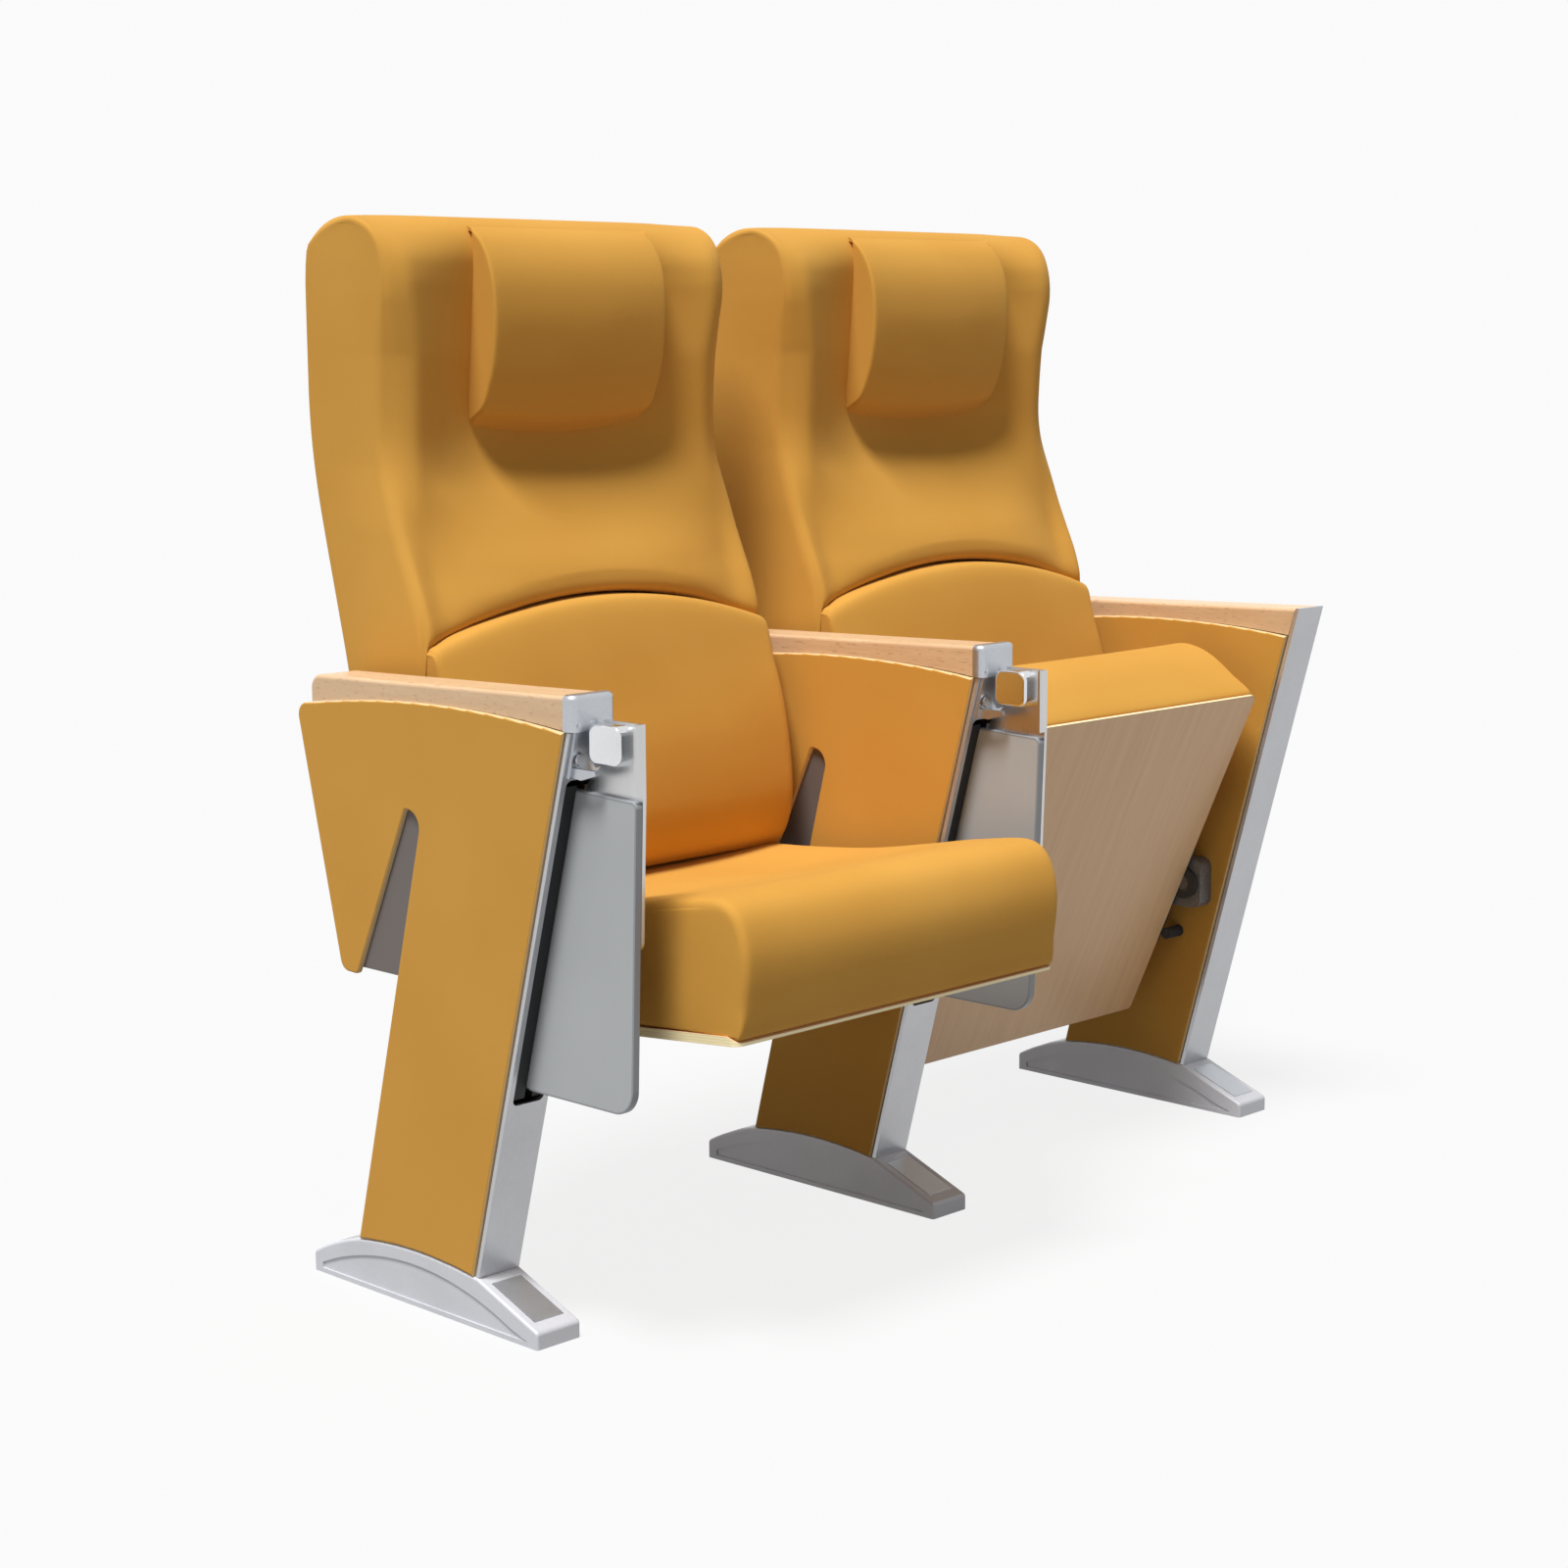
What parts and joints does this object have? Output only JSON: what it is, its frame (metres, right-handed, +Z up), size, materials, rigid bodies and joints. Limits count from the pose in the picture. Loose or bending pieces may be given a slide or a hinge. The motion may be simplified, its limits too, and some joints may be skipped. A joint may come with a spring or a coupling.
{
  "type": "tip-up auditorium seat row module",
  "caption": "Auditorium seating module with tip-up upholstered seats, winged high backs, beech armrests and swing-out writing tablets in the standards.",
  "frame": {"origin": "on the floor, at the middle foot's two anchor holes, halfway between them", "axes": "+Z up; +X along the row, to the right for someone who faces the seats; -Y to the front, the way the sitters look"},
  "size_m": [1.176, 0.6002, 1.065],
  "materials": {
    "seat_cloth": "ochre woven upholstery cloth",
    "back_cloth": "ochre woven upholstery cloth",
    "lumbar_cloth": "ochre woven upholstery cloth",
    "pillow_cloth": "ochre woven upholstery cloth",
    "panel_cloth": "ochre cloth on a rigid board",
    "armrest_beech": "lacquered beech",
    "pan_beech": "lacquered beech plywood",
    "shell_beech": "lacquered beech plywood",
    "foot_cast": "satin cast",
    "cap_plastic": "satin",
    "strip_aluminium": "satin anodised",
    "core_steel": "dark powder coat",
    "hinge_cast": "satin cast",
    "hinge_chrome": "polished",
    "bracket_steel": "brushed",
    "tablet_laminate": "fine satin",
    "tablet_edge": "satin",
    "frame_steel": "black powder coat",
    "pin_steel": "ground",
    "screw_steel": "zinc plated",
    "spring_steel": "blued",
    "housing_cast": "cast",
    "nylon": "natural",
    "bumper_rubber": "black",
    "seal_rubber": "black"
  },
  "bodies": {
    "row": {"foot_left": "foot_cast", "core_left": "core_steel", "front_strip_left": "strip_aluminium", "armrest_left": "armrest_beech", "panel_left_left": "panel_cloth", "panel_left_right": "panel_cloth", "foot_middle": "foot_cast", "core_middle": "core_steel", "front_strip_middle": "strip_aluminium", "armrest_middle": "armrest_beech", "panel_middle_left": "panel_cloth", "panel_middle_right": "panel_cloth", "foot_right": "foot_cast", "core_right": "core_steel", "front_strip_right": "strip_aluminium", "armrest_right": "armrest_beech", "panel_right_left": "panel_cloth", "panel_right_right": "panel_cloth", "hinge_block_left": "hinge_cast", "hinge_block_middle": "hinge_cast", "back_cushion_left": "back_cloth", "lumbar_cushion_left": "lumbar_cloth", "head_pillow_left": "pillow_cloth", "rear_shell_left": "shell_beech", "back_cushion_right": "back_cloth", "lumbar_cushion_right": "lumbar_cloth", "head_pillow_right": "pillow_cloth", "rear_shell_right": "shell_beech", "anchor_caps": "cap_plastic", "foot_screws": "screw_steel", "hinge_pins": "pin_steel", "hinge_screws": "screw_steel", "pivot_housings": "housing_cast", "pivot_pins": "pin_steel", "return_springs": "spring_steel", "stop_bumpers": "bumper_rubber", "back_brackets": "frame_steel", "back_bolts": "screw_steel", "back_frames": "frame_steel", "channel_seals": "seal_rubber"},
    "seat_left": {"seat_cushion_left": "seat_cloth", "seat_pan_left": "pan_beech", "seat_frame_left": "frame_steel", "seat_bushes_left": "nylon", "seat_screws_left": "screw_steel"},
    "seat_right": {"seat_cushion_right": "seat_cloth", "seat_pan_right": "pan_beech", "seat_frame_right": "frame_steel", "seat_bushes_right": "nylon", "seat_screws_right": "screw_steel"},
    "tablet_left": {"tablet_board_left": "tablet_laminate", "tablet_edging_left": "tablet_edge", "tablet_bracket_left": "bracket_steel", "tablet_knuckle_left": "hinge_chrome", "tablet_screws_left": "screw_steel"},
    "tablet_middle": {"tablet_board_middle": "tablet_laminate", "tablet_edging_middle": "tablet_edge", "tablet_bracket_middle": "bracket_steel", "tablet_knuckle_middle": "hinge_chrome", "tablet_screws_middle": "screw_steel"}
  },
  "joints": [
    {"name": "seat_left_tip", "type": "hinge", "parent": "row", "child": "seat_left", "pos_m": [-0.28, -0.1045, 0.286], "axis": [-1, 0, 0], "range_deg": [0, 61], "stiffness_Nm_per_rad": 0.8, "springref_deg": 143.24},
    {"name": "seat_right_tip", "type": "hinge", "parent": "row", "child": "seat_right", "pos_m": [0.28, -0.1045, 0.286], "axis": [-1, 0, 0], "range_deg": [-61, 0], "stiffness_Nm_per_rad": 0.8, "springref_deg": 82.22},
    {"name": "tablet_left_swing", "type": "hinge", "parent": "row", "child": "tablet_left", "pos_m": [-0.56, -0.267, 0.583], "axis": [-1, 0, 0], "range_deg": [0, 95]},
    {"name": "tablet_middle_swing", "type": "hinge", "parent": "row", "child": "tablet_middle", "pos_m": [0, -0.267, 0.583], "axis": [-1, 0, 0], "range_deg": [0, 95]}
  ]
}
